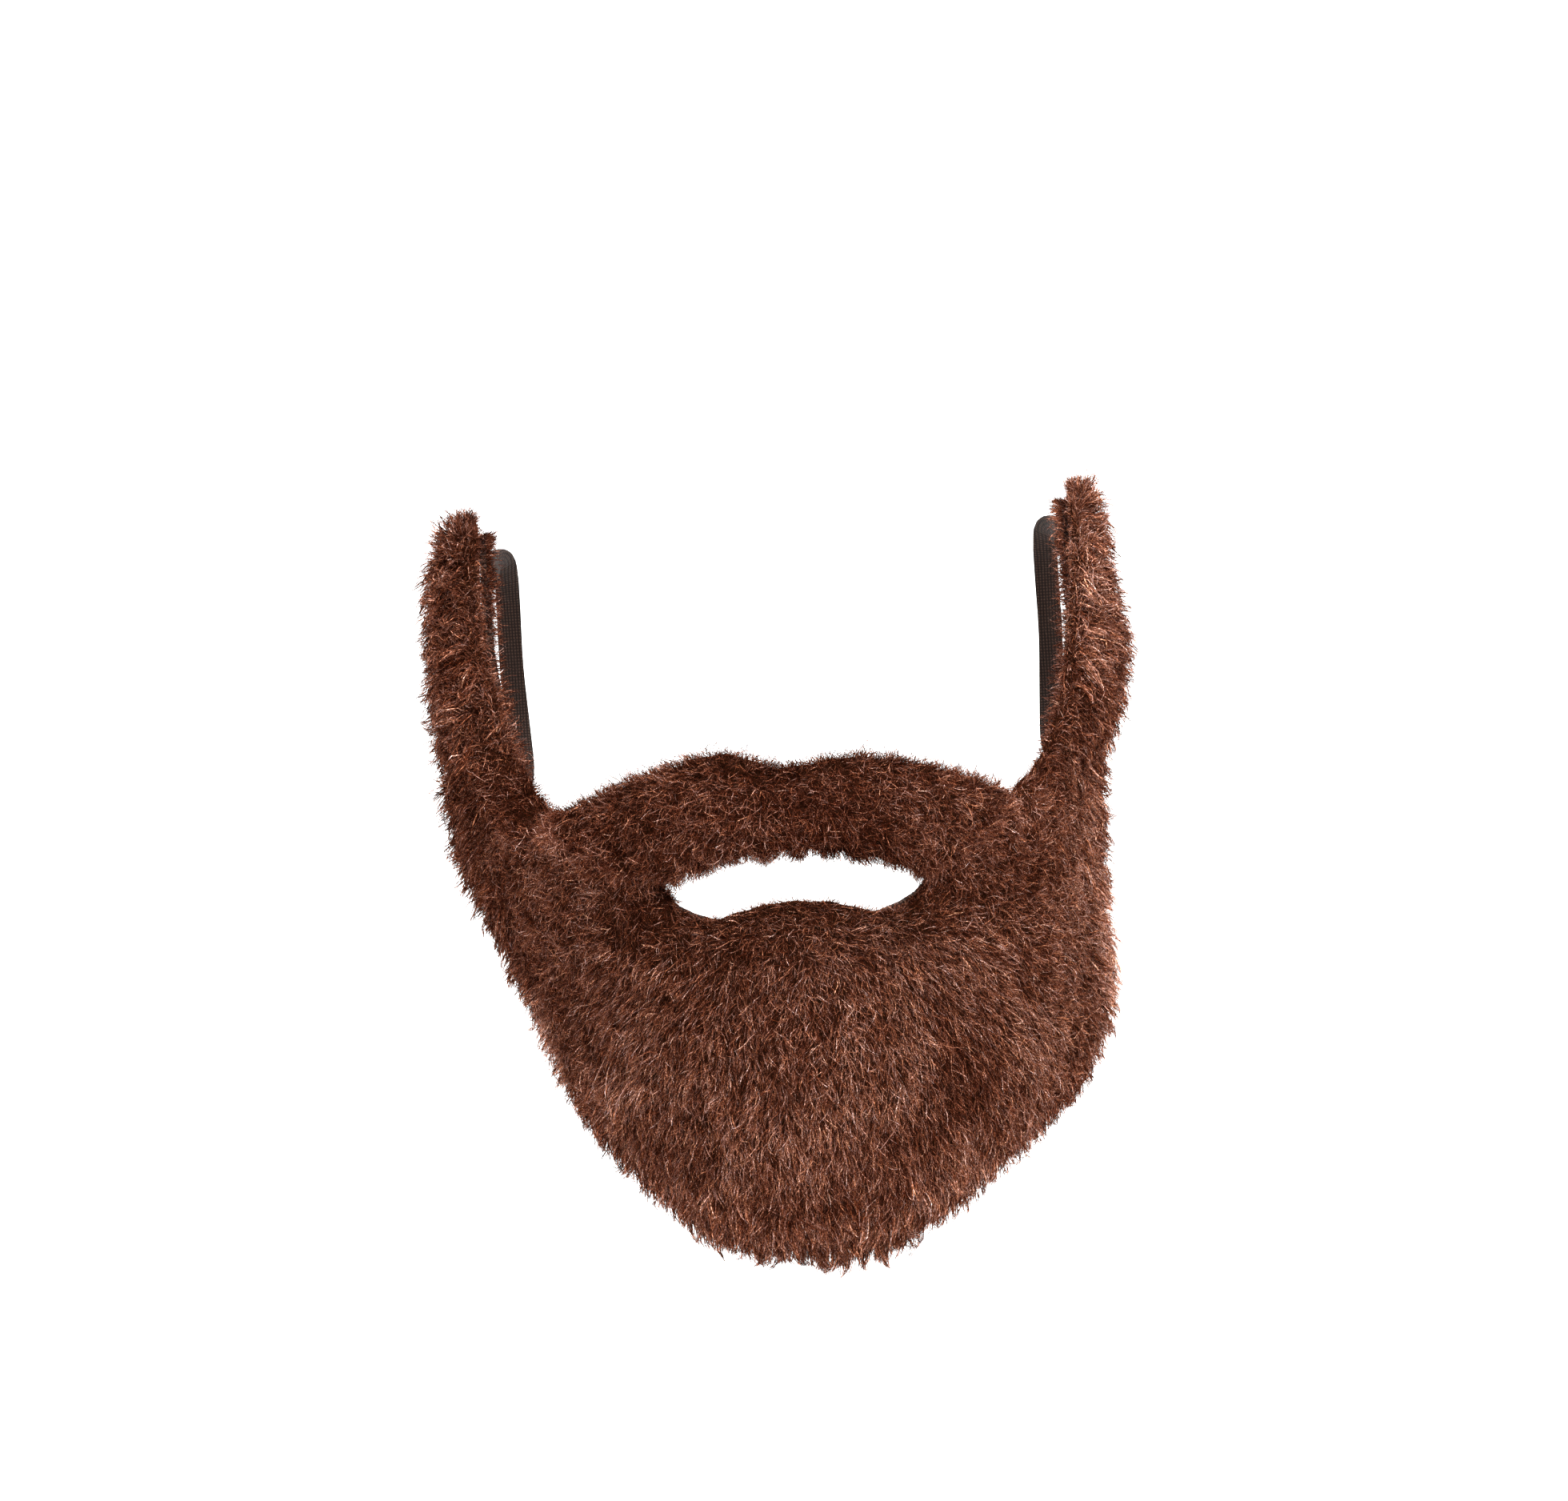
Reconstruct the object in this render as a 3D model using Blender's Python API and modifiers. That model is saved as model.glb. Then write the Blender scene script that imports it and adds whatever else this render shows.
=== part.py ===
"""A full costume beard with moustache, in the shape it has when it is worn.

A cloth backing follows the lower face from ear to ear and carries two masses of
crimped hair: the beard with its sideburns, and the moustache over the open mouth.
Two flat elastic loops go round the ears. The origin lies midway between the ears,
+Z is up, the beard faces -Y, and +X is the wearer's left.
"""

import math
from collections import namedtuple

import bmesh
import bpy
from mathutils import Vector
from mathutils.geometry import delaunay_2d_cdt

MM = 0.001

CLOTH_THICKNESS = 1.5
HAIR_GAP = 0.6
SEAM_GAP = 0.5
ELASTIC_WIDTH = 6.0
ELASTIC_THICKNESS = 1.2
ELASTIC_GAP = 0.9

# One degree round the head is this long on the flat pattern.
ARC_PER_DEGREE = 1.3

CLOTH_NET = 6.0
LOCK_WIDTH = 8.0
LOCK_LENGTH = 24.0
LOCK_DEPTH = 2.8
LOCK_ROW = 4.5
LEAST_HAIR = 0.12

# The inside of the cloth and the outside of the hair at each height, in mm. Half
# widths are taken from the middle plane, fronts and centre are places along Y.
Section = namedtuple(
    "Section",
    "height cloth_half cloth_front centre hair_minus_x hair_plus_x hair_front",
)
SECTIONS = (
    Section(46, 70.0, -98.0, 0.0, 80.0, 80.5, -110.0),
    Section(28, 70.5, -100.0, 0.0, 84.5, 80.0, -112.0),
    Section(14, 71.0, -101.0, 0.0, 84.7, 80.0, -114.0),
    Section(0, 71.0, -103.0, 0.0, 84.7, 82.5, -116.0),
    Section(-14, 70.0, -105.5, 0.0, 83.0, 80.5, -118.0),
    Section(-28, 68.5, -107.0, 0.0, 81.7, 74.8, -120.5),
    Section(-46, 65.5, -108.0, 0.0, 79.2, 74.0, -121.0),
    Section(-56, 63.0, -107.5, -2.0, 74.5, 74.0, -116.5),
    Section(-66, 60.0, -106.0, -4.0, 70.0, 74.5, -119.0),
    Section(-82, 54.0, -103.0, -10.0, 65.0, 76.5, -125.0),
    Section(-94, 48.0, -98.5, -16.0, 63.5, 76.5, -127.5),
    Section(-104, 43.0, -90.0, -20.0, 61.0, 73.0, -127.0),
    Section(-118, 38.0, -85.0, -28.0, 55.5, 65.0, -123.0),
    Section(-132, 34.0, -85.0, -34.0, 49.0, 55.0, -114.0),
    Section(-144, 31.0, -87.0, -38.0, 43.0, 48.0, -104.0),
)

# An edge of the hair on the flat pattern: points as degrees round the head from the
# middle and height in mm, how far its lock tips stand out, and how wide it rounds.
Edge = namedtuple("Edge", "points tip rounding")
FRONT_EDGE_MINUS_X = Edge(
    ((-49.5, -33.5), (-59, -22.5), (-66, -5), (-75, 12), (-82, 32)), 0.8, 8
)
REAR_EDGE_MINUS_X = Edge(
    ((-82, 32), (-88.5, 40.5), (-95, 37), (-97, 20), (-97, -10), (-95.5, -36),
     (-92, -56), (-86, -72), (-80, -83)), 1.8, 8,
)
LOWER_EDGE = Edge(
    ((-80, -83), (-68, -98), (-61, -105.5), (-53, -113), (-45, -119), (-37, -125.5),
     (-26, -131.5), (3, -136), (20, -134.5), (30, -130), (38, -124), (47, -118),
     (62, -108), (70, -100), (78, -91), (86, -79)), 2.8, 16,
)
REAR_EDGE_PLUS_X = Edge(
    ((86, -79), (91, -64), (95, -44), (96.5, -14), (97, 18), (95, 36.5), (89, 39.5),
     (81, 31)), 1.8, 8,
)
FRONT_EDGE_PLUS_X = Edge(
    ((81, 31), (71, 13), (63, -10), (56, -25), (46, -34)), 0.8, 8
)
MOUTH_LOWER_EDGE = Edge(
    ((25.5, -53), (22.5, -57.5), (16, -58.5), (8, -56), (0.5, -55), (-7, -55.5),
     (-16, -58), (-22.5, -56.5), (-25, -51)), 0.7, 7,
)
MOUSTACHE_TOP_EDGE = Edge(
    ((46, -34), (30, -27.5), (14, -23.5), (6, -24), (-1.5, -25), (-8, -22),
     (-14, -21), (-24.5, -24.5), (-34, -28), (-49.5, -33.5)), 1.0, 8,
)
MOUTH_UPPER_EDGE = Edge(
    ((-25, -51), (-12, -45.5), (0, -44), (11, -45.5), (19, -48.5), (25.5, -53)), 1.0, 6
)
SEAM_MINUS_X = ((-25, -51), (-49.5, -33.5))
SEAM_PLUS_X = ((46, -34), (25.5, -53))

# Half of the cloth's edge, from the middle of the lip over the ear to the throat.
CLOTH_HALF = (
    (0, -28), (14, -26.5), (31, -32), (47, -39.5), (60, -30), (69, -11), (78, 11),
    (84, 28), (90, 35.5), (95, 32), (96, 0), (94.5, -28), (92, -46), (87, -59),
    (76, -71), (58, -85), (38, -96), (18, -102.5), (0, -104),
)
MOUTH_CENTRE = -51.0
MOUTH_HALF_ANGLE = 28.0
MOUTH_HALF_HEIGHT = 10.0
MOUTH_STEPS = 28

# The jaw line, below which the hair hangs free of the cloth.
JAW_FRONT = -100.0
JAW_RISE = 42.0
HANG_BLEND = 15.0
HANGING_LIFT = 0.7
SKIN_LIFT = 0.1

# The middle line of the elastic loop on the wearer's left, in mm. At its ends it lies
# flat on the inside of the cloth, and behind the ear its edge faces the head.
LoopPoint = namedtuple("LoopPoint", "inset y z flat")
LOOP = (
    LoopPoint(0.0, -6, 25, 1.0),
    LoopPoint(0.0, 3, 27, 1.0),
    LoopPoint(0.4, 12, 29.5, 1.0),
    LoopPoint(1.8, 24, 29, 0.3),
    LoopPoint(2.0, 35, 20, 0.0),
    LoopPoint(2.0, 39, 4, 0.0),
    LoopPoint(2.0, 36, -12, 0.0),
    LoopPoint(1.8, 26, -23, 0.3),
    LoopPoint(0.4, 13, -26, 1.0),
    LoopPoint(0.0, 3, -25, 1.0),
    LoopPoint(0.0, -5, -23, 1.0),
)
LOOP_STEPS = 4

DOWN = Vector((0, -1))

CHESTNUT = (0.085, 0.031, 0.017, 1.0)
DARK_BROWN = (0.035, 0.018, 0.012, 1.0)


def clear_scene():
    for item in list(bpy.data.objects):
        bpy.data.objects.remove(item, do_unlink=True)


def smooth_between(before, start, end, after, share):
    """A value between start and end on a curve that runs through all four."""
    return 0.5 * (
        2 * start
        + (end - before) * share
        + (2 * before - 5 * start + 4 * end - after) * share**2
        + (3 * start - before - 3 * end + after) * share**3
    )


def section_at(height):
    """The section at a height, read smoothly from the table."""
    last = len(SECTIONS) - 1
    row = 0
    while row < last - 1 and SECTIONS[row + 1].height > height:
        row += 1
    rows = [SECTIONS[min(max(row + step, 0), last)] for step in (-1, 0, 1, 2)]
    share = (rows[1].height - height) / (rows[1].height - rows[2].height)
    share = min(max(share, 0.0), 1.0)
    return Section(*(smooth_between(*column, share) for column in zip(*rows)))


def around(angle, height, half, front, centre):
    """A point on a half ellipse round the head, at degrees from the middle."""
    turn = math.radians(angle)
    return Vector((half * math.sin(turn), centre + (front - centre) * math.cos(turn), height))


def cloth_point(angle, height):
    section = section_at(height)
    return around(angle, height, section.cloth_half, section.cloth_front, section.centre)


def cloth_normal(angle, height):
    """The direction from the inside of the cloth to its outside there."""
    step = 0.5
    along = cloth_point(angle + step, height) - cloth_point(angle - step, height)
    upward = cloth_point(angle, height + step) - cloth_point(angle, height - step)
    return along.cross(upward).normalized()


def hair_point(angle, height):
    """The outside of the hair before its locks are raised."""
    section = section_at(height)
    half = section.hair_plus_x if angle > 0 else section.hair_minus_x
    return around(angle, height, half, section.hair_front, section.centre)


def root_point(angle, height):
    """The inside of the hair, just clear of the cloth."""
    lift = CLOTH_THICKNESS + HAIR_GAP
    return cloth_point(angle, height) + cloth_normal(angle, height) * lift


def to_flat(points):
    return [Vector((angle * ARC_PER_DEGREE, height)) for angle, height in points]


def from_flat(place):
    return place[0] / ARC_PER_DEGREE, place[1]


def curved_line(points, closed=False, steps=8):
    """The points of a smooth line through the given ones."""
    count = len(points)
    line = []
    for i in range(count if closed else count - 1):
        if closed:
            four = [points[(i + step) % count] for step in (-1, 0, 1, 2)]
        else:
            four = [points[min(max(i + step, 0), count - 1)] for step in (-1, 0, 1, 2)]
        line += [smooth_between(*four, step / steps) for step in range(steps)]
    return line if closed else line + [points[-1].copy()]


def spaced(line, gap, even=False):
    """The line cut into pieces of about the same length."""
    lengths = [0.0]
    for start, end in zip(line, line[1:]):
        lengths.append(lengths[-1] + (end - start).length)
    pieces = max(2, round(lengths[-1] / gap))
    if even and pieces % 2:
        pieces += 1
    cut = []
    at = 0
    for i in range(pieces + 1):
        wanted = lengths[-1] * i / pieces
        while at < len(line) - 2 and lengths[at + 1] < wanted:
            at += 1
        share = (wanted - lengths[at]) / (lengths[at + 1] - lengths[at])
        cut.append(line[at].lerp(line[at + 1], share))
    return cut


def with_lock_tips(edge):
    """The edge's points on the flat pattern, each second one drawn out as a lock's tip."""
    cut = spaced(curved_line(to_flat(edge.points)), LOCK_WIDTH / 2, even=True)
    tipped = [cut[0]]
    for i in range(1, len(cut) - 1):
        along = (cut[i + 1] - cut[i - 1]).normalized()
        outward = Vector((along.y, -along.x))
        sway = 0.7 + 0.3 * math.sin(2.1 * i)
        reach = edge.tip * sway if i % 2 else -0.3 * edge.tip
        tipped.append(cut[i] + outward * reach + DOWN * abs(reach) * 0.6)
    return tipped + [cut[-1]]


def seam_line(seam, side):
    """A seam between the two masses of hair, moved to one side by half of the gap."""
    line = spaced(to_flat(seam), LOCK_WIDTH / 2)
    along = (line[-1] - line[0]).normalized()
    return [place + Vector((along.y, -along.x)) * side * SEAM_GAP / 2 for place in line]


def joined(*lines):
    """A closed outline from lines that follow each other, with no point twice."""
    outline = []
    for line in lines:
        for place in line:
            if not outline or (place - outline[-1]).length > 0.8:
                outline.append(place)
    while (outline[0] - outline[-1]).length < 0.8:
        outline.pop()
    return outline


def inside(place, outline):
    """Whether a place on the flat pattern lies inside a closed outline."""
    crossings = 0
    for start, end in zip(outline, outline[1:] + outline[:1]):
        if (start.y > place.y) != (end.y > place.y):
            share = (place.y - start.y) / (end.y - start.y)
            crossings += place.x < start.x + share * (end.x - start.x)
    return crossings % 2 == 1


def distance(place, line):
    """How far a place lies from a line of points."""
    best = math.inf
    for start, end in zip(line, line[1:]):
        piece = end - start
        share = (place - start).dot(piece) / piece.length_squared
        share = min(max(share, 0.0), 1.0)
        best = min(best, (place - start - piece * share).length)
    return best


def fill_pattern(outline, hole, column_gap, row_gap, margin):
    """The triangles of a flat pattern with an outline, perhaps a hole, and a regular net."""
    loops = [outline] + ([hole] if hole else [])
    places = [place for loop in loops for place in loop]
    edges = []
    for loop in loops:
        first = len(edges)
        edges += [(first + i, first + (i + 1) % len(loop)) for i in range(len(loop))]
    low = Vector((min(p.x for p in outline), min(p.y for p in outline)))
    high = Vector((max(p.x for p in outline), max(p.y for p in outline)))
    for column in range(math.ceil(low.x / column_gap), math.floor(high.x / column_gap) + 1):
        for row in range(math.ceil(low.y / row_gap), math.floor(high.y / row_gap) + 1):
            place = Vector((column * column_gap, row * row_gap))
            if not inside(place, outline) or (hole and inside(place, hole)):
                continue
            if min(distance(place, loop + loop[:1]) for loop in loops) > margin:
                places.append(place)
    faces_inside = 1
    filled = delaunay_2d_cdt(places, edges, [], faces_inside, 1e-5)
    places, faces = filled[0], filled[2]
    if hole:
        middles = [sum((places[i] for i in face), Vector((0, 0))) / len(face) for face in faces]
        faces = [face for face, middle in zip(faces, middles) if not inside(middle, hole)]
    return places, faces


def new_object(name, mesh, collection, colour, roughness):
    material = bpy.data.materials.new(name)
    material.use_nodes = True
    surface = material.node_tree.nodes["Principled BSDF"]
    surface.inputs["Base Color"].default_value = colour
    surface.inputs["Roughness"].default_value = roughness
    surface.inputs["Metallic"].default_value = 0.0
    mesh.materials.append(material)
    piece = bpy.data.objects.new(name, mesh)
    collection.objects.link(piece)
    return piece


def mesh_from(name, points, faces, smooth_angle):
    """A mesh in metres from points in mm, with its faces turned outwards."""
    shape = bmesh.new()
    corners = [shape.verts.new(point * MM) for point in points]
    for face in faces:
        shape.faces.new([corners[i] for i in face])
    bmesh.ops.recalc_face_normals(shape, faces=shape.faces[:])
    mesh = bpy.data.meshes.new(name)
    shape.to_mesh(mesh)
    shape.free()
    mesh.shade_smooth()
    mesh.set_sharp_from_angle(angle=math.radians(smooth_angle))
    return mesh


def make_backing(collection):
    """The cloth: an open sheet round the mouth and jaw, thickened outwards."""
    half = to_flat(CLOTH_HALF)
    other_half = [Vector((-place.x, place.y)) for place in half[-2:0:-1]]
    smooth = curved_line(half + other_half, closed=True)
    outline = spaced(smooth + smooth[:1], CLOTH_NET)[:-1]
    turns = [2 * math.pi * step / MOUTH_STEPS for step in range(MOUTH_STEPS)]
    mouth = to_flat(
        [
            (MOUTH_HALF_ANGLE * math.cos(turn), MOUTH_CENTRE + MOUTH_HALF_HEIGHT * math.sin(turn))
            for turn in turns
        ]
    )
    places, faces = fill_pattern(outline, mouth, CLOTH_NET, CLOTH_NET, CLOTH_NET / 2)
    shape = bmesh.new()
    corners = [shape.verts.new(cloth_point(*from_flat(place)) * MM) for place in places]
    for face in faces:
        shape.faces.new([corners[i] for i in face])
    shape.normal_update()
    outward = sum(face.normal.dot(face.calc_center_median()) for face in shape.faces)
    if outward < 0:
        bmesh.ops.reverse_faces(shape, faces=shape.faces[:])
    mesh = bpy.data.meshes.new("backing")
    shape.to_mesh(mesh)
    shape.free()
    mesh.shade_smooth()
    backing = new_object("backing", mesh, collection, DARK_BROWN, 0.9)
    wall = backing.modifiers.new("wall", "SOLIDIFY")
    wall.thickness = CLOTH_THICKNESS * MM
    wall.offset = 1.0
    wall.use_even_offset = True
    return backing


def roundness(place, free_edges):
    """The share of the hair's full thickness there: little at a free edge, all inside."""
    share = 1.0
    for line, rounding in free_edges:
        near = 1 - min(distance(place, line) / rounding, 1.0)
        share = min(share, math.sqrt(1 - near**2))
    return LEAST_HAIR + (1 - LEAST_HAIR) * share


def lift_of_edge(angle, height):
    """Where between skin and outside the two faces of the hair meet at a free edge."""
    jaw = JAW_FRONT + JAW_RISE * (min(abs(angle), 90) / 90) ** 1.5
    hanging = min(max((jaw - height) / HANG_BLEND, 0.0), 1.0)
    return SKIN_LIFT + (HANGING_LIFT - SKIN_LIFT) * hanging


def lock_height(place):
    """How far the locks stand out there, on ridges that end in overlapping tips."""
    lock = math.floor(place[0] / LOCK_WIDTH + 0.5)
    across = abs(place[0] / LOCK_WIDTH - lock) * 2
    start = LOCK_LENGTH * (0.5 + 0.5 * math.sin(5.3 * lock))
    down = ((place[1] + start) / LOCK_LENGTH) % 1.0
    return LOCK_DEPTH * (1 - across) * (0.35 + 0.65 * (1 - down))


def make_hair(name, collection, outline, free_edges):
    """A mass of hair: two sheets on the same flat pattern, closed round the outline."""
    places, faces = fill_pattern(outline, None, LOCK_WIDTH / 2, LOCK_ROW, 2.0)
    lines = [(curved_line(to_flat(edge.points)), edge.rounding) for edge in free_edges]
    inner = []
    outer = []
    for place in places:
        angle, height = from_flat(place)
        share = roundness(place, lines)
        low = lift_of_edge(angle, height) * (1 - share)
        root = root_point(angle, height)
        thickness = hair_point(angle, height) - root
        inner.append(root + thickness * low)
        raised = thickness.normalized() * lock_height(place) * share
        outer.append(root + thickness * (low + share) + raised)
    count = len(places)
    rim = len(outline)
    closed = [tuple(face) for face in faces]
    closed += [tuple(i + count for i in reversed(face)) for face in faces]
    closed += [(i, (i + 1) % rim, (i + 1) % rim + count, i + count) for i in range(rim)]
    mesh = mesh_from(name, inner + outer, closed, 50)
    return new_object(name, mesh, collection, CHESTNUT, 0.6)


def make_beard(collection):
    edges = (
        FRONT_EDGE_MINUS_X, REAR_EDGE_MINUS_X, LOWER_EDGE, REAR_EDGE_PLUS_X,
        FRONT_EDGE_PLUS_X, MOUTH_LOWER_EDGE,
    )
    lines = [with_lock_tips(edge) for edge in edges]
    outline = joined(
        *lines[:5], seam_line(SEAM_PLUS_X, -1), lines[5], seam_line(SEAM_MINUS_X, -1)
    )
    return make_hair("beard_hair", collection, outline, edges)


def make_moustache(collection):
    edges = (MOUSTACHE_TOP_EDGE, MOUTH_UPPER_EDGE)
    top, bottom = (with_lock_tips(edge) for edge in edges)
    outline = joined(
        bottom, seam_line(SEAM_PLUS_X, 1)[::-1], top, seam_line(SEAM_MINUS_X, 1)[::-1]
    )
    return make_hair("moustache_hair", collection, outline, edges)


def make_ear_loop(name, side, collection):
    """A flat elastic band lofted along its middle line, with a quarter twist at each end."""
    wall = ELASTIC_GAP + ELASTIC_THICKNESS / 2
    middle = []
    for point in LOOP:
        x = section_at(point.z).cloth_half - wall - point.inset
        middle.append(Vector((x, point.y, point.z, point.flat)))
    line = curved_line(middle, steps=LOOP_STEPS)
    corners = []
    for i, place in enumerate(line):
        before = line[max(i - 1, 0)]
        after = line[min(i + 1, len(line) - 1)]
        along = (after - before).to_3d().normalized()
        across_loop = along.cross(Vector((1, 0, 0))).normalized()
        turn = place.w * math.pi / 2
        wide = Vector((1, 0, 0)) * math.cos(turn) + across_loop * math.sin(turn)
        thick = along.cross(wide).normalized()
        for u, v in ((-1, -1), (1, -1), (1, 1), (-1, 1)):
            corner = (
                place.to_3d()
                + wide * u * ELASTIC_WIDTH / 2
                + thick * v * ELASTIC_THICKNESS / 2
            )
            corners.append(Vector((corner.x * side, corner.y, corner.z)))
    faces = []
    for i in range(len(line) - 1):
        for k in range(4):
            a = 4 * i + k
            b = 4 * i + (k + 1) % 4
            faces.append((a, b, b + 4, a + 4))
    last = 4 * (len(line) - 1)
    faces += [(3, 2, 1, 0), (last, last + 1, last + 2, last + 3)]
    mesh = mesh_from(name, corners, faces, 60)
    return new_object(name, mesh, collection, DARK_BROWN, 0.8)


def main():
    clear_scene()
    collection = bpy.data.collections.new("costume_beard")
    bpy.context.scene.collection.children.link(collection)
    make_backing(collection)
    make_beard(collection)
    make_moustache(collection)
    make_ear_loop("ear_loop_left", 1, collection)
    make_ear_loop("ear_loop_right", -1, collection)


main()
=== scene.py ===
import math
from collections import namedtuple

import bmesh
import bpy
import numpy as np
from mathutils import Euler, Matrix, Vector
from mathutils.bvhtree import BVHTree
from mathutils.kdtree import KDTree


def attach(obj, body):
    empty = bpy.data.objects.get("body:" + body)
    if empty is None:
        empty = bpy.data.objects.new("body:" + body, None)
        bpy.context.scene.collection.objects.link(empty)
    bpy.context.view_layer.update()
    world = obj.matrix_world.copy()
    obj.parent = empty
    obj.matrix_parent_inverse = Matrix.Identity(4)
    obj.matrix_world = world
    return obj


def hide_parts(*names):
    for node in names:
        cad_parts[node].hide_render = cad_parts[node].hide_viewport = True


MM = 0.001

# The photograph's view: level, straight on to the beard, with a small roll.
CAMERA_DISTANCE = 1.6
CAMERA_SIDE = -0.0008
CAMERA_HEIGHT = -0.0212
CAMERA_ROLL = 3.5
CAMERA_LENS = 150.3

# The layers of hair, from the dense under layer to the loose curls: strands on the
# beard and on the moustache, pieces in each strand, then the least and the most of
# each value in mm and degrees, the tint and its spread, how much the hair curls, the
# strands in a lock and how closely they are drawn together, and where it grows. The
# tint is darker for the lower layers as painted shade of the deep hair.
Layer = namedtuple(
    "Layer",
    "beard moustache segments length lift reach width tint spread curl lock_size lock where",
)
LAYERS = (
    Layer(82000, 12000, 1, (2.2, 4.0), (0, 50), (-0.6, 0.5), (0.15, 0.24), 0.22, 0.12, 0.5, 14,
          0.05, "all"),
    Layer(88000, 12500, 2, (2.2, 4.4), (10, 72), (-0.1, 1.5), (0.11, 0.18), 0.40, 0.17, 0.6, 14,
          0.05, "all"),
    Layer(52000, 8000, 3, (2.6, 5.4), (15, 72), (0.3, 2.0), (0.10, 0.16), 0.45, 0.17, 0.7, 14,
          0.10, "all"),
    Layer(8000, 1400, 4, (3.8, 7.0), (25, 78), (0.9, 2.8), (0.09, 0.14), 0.52, 0.15, 0.8, 14,
          0.12, "all"),
    Layer(900, 400, 5, (6.0, 11.0), (30, 85), (2.2, 4.2), (0.10, 0.15), 0.46, 0.18, 0.9, 14,
          0.0, "all"),
    Layer(350, 350, 5, (5.0, 9.5), (35, 90), (3.0, 6.5), (0.11, 0.17), 0.34, 0.12, 1.0, 14,
          0.0, "brims"),
    Layer(18000, 0, 3, (4.8, 9.0), (38, 74), (2.6, 6.8), (0.18, 0.26), 0.40, 0.18, 0.4, 9,
          1.0, "sides"),
)

BEARD_PIECES = (
    "sideburn_strands_right", "jaw_strands_right", "chin_strands_right",
    "chin_strands_left", "jaw_strands_left", "sideburn_strands_left",
)

# The middle line of the elastic loops, in mm, and how flat the band lies on the cloth.
LoopPoint = namedtuple("LoopPoint", "inset y z flat")
LOOP = (
    LoopPoint(0.0, -6, 25, 1.0),
    LoopPoint(0.0, 3, 27, 1.0),
    LoopPoint(0.4, 12, 29.5, 1.0),
    LoopPoint(1.8, 24, 29, 0.3),
    LoopPoint(2.0, 35, 20, 0.0),
    LoopPoint(2.0, 39, 4, 0.0),
    LoopPoint(2.0, 36, -12, 0.0),
    LoopPoint(1.8, 26, -23, 0.3),
    LoopPoint(0.4, 13, -26, 1.0),
    LoopPoint(0.0, 3, -25, 1.0),
    LoopPoint(0.0, -5, -23, 1.0),
)

# Where each loop is sewn down, from and to a Y and Z, with a zigzag of this half width,
# turns and thread, and how far from the middle plane the sewn face lies. All in mm.
LOOP_ENDS = (((-5.5, 25.1), (3.0, 27.0)), ((-4.5, -23.1), (4.0, -25.2)))
LOOP_ZIGZAG = 2.3
LOOP_TURNS = 15
LOOP_THREAD = 0.5
CLOTH_FACE = 68.45

# The knit and the weave, in mm, and the overlock stitches round the cloth.
KNIT_COLUMN = 1.9
KNIT_ROW = 1.5
CORD_SPACING = 0.75
WEFT_SPACING = 0.8
OVERLOCK_SPACING = 2.0
OVERLOCK_DEPTH = 2.4
OVERLOCK_THREAD = 0.42

# Faces of the cloth's cut edge have a side shorter than this.
SHORT_SIDE = 1.9 * MM

# The flat pattern: the middle of the head at each height and the ellipse round it, in
# metres, and the mm in one degree. The seam between moustache and beard runs from the
# mouth's corner to the inner corner of the cheek, in degrees and mm of height.
HEAD_HEIGHTS = (-0.144, -0.104, -0.056, 0.0)
HEAD_CENTRES = (-0.038, -0.020, -0.002, 0.0)
HEAD_HALF = 0.080
HEAD_FRONT = 0.118
ARC_PER_DEGREE = 1.3
SEAM_START = (25.2, -52.0)
SEAM_END = (48.0, -33.8)

# The layers' tints are given for hair of this tint.
USUAL_TINT = 0.40

# Painted shade at the mouth's corners, under the lower lip and at the inner corner of
# the cheek, and a lighter patch low on the chin: their middle and half size in degrees
# from the front and in mm of height, and how much lighter they are on each side of the
# beard.
Spot = namedtuple("Spot", "angle height wide high minus_x plus_x")
SPOTS = (
    Spot(27, -57, 7, 7, -0.22, -0.13),
    Spot(0, -61, 20, 4, -0.04, -0.04),
    Spot(53, -29, 7, 8, -0.30, -0.18),
    Spot(0, -73, 28, 9, 0.05, 0.05),
)

# How tangled the hair is in the cheeks, and how much less on the combed chin.
MOST_FRIZZ = 0.95
LESS_ON_CHIN = 0.60

FRINGE_STRANDS = 11000

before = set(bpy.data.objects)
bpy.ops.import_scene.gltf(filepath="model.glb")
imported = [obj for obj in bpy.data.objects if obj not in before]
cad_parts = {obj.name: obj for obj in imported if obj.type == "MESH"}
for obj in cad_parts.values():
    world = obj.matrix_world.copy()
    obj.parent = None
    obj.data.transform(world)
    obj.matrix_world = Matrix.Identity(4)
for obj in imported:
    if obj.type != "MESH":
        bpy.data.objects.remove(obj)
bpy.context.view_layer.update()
chance = np.random.default_rng(20)


# ---------------------------------------------------------------- small helpers


def deselect():
    if bpy.context.object and bpy.context.object.mode != "OBJECT":
        bpy.ops.object.mode_set(mode="OBJECT")
    bpy.ops.object.select_all(action="DESELECT")


def pick(piece):
    """Makes a piece the only selected one, and the active one."""
    deselect()
    piece.select_set(True)
    bpy.context.view_layer.objects.active = piece


def copy_of_node(node_name, name):
    """A copy of a CAD node's mesh with its loose triangles merged, ready to work on."""
    pick(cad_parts[node_name])
    bpy.ops.object.duplicate()
    piece = bpy.context.object
    piece.name = piece.data.name = name
    for key in list(piece.keys()):
        del piece[key]
    piece.parent = None
    piece.data.materials.clear()
    bpy.ops.object.mode_set(mode="EDIT")
    bpy.ops.mesh.select_all(action="SELECT")
    bpy.ops.mesh.remove_doubles(threshold=0.00001)
    bpy.ops.mesh.customdata_custom_splitnormals_clear()
    bpy.ops.object.mode_set(mode="OBJECT")
    return piece


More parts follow.
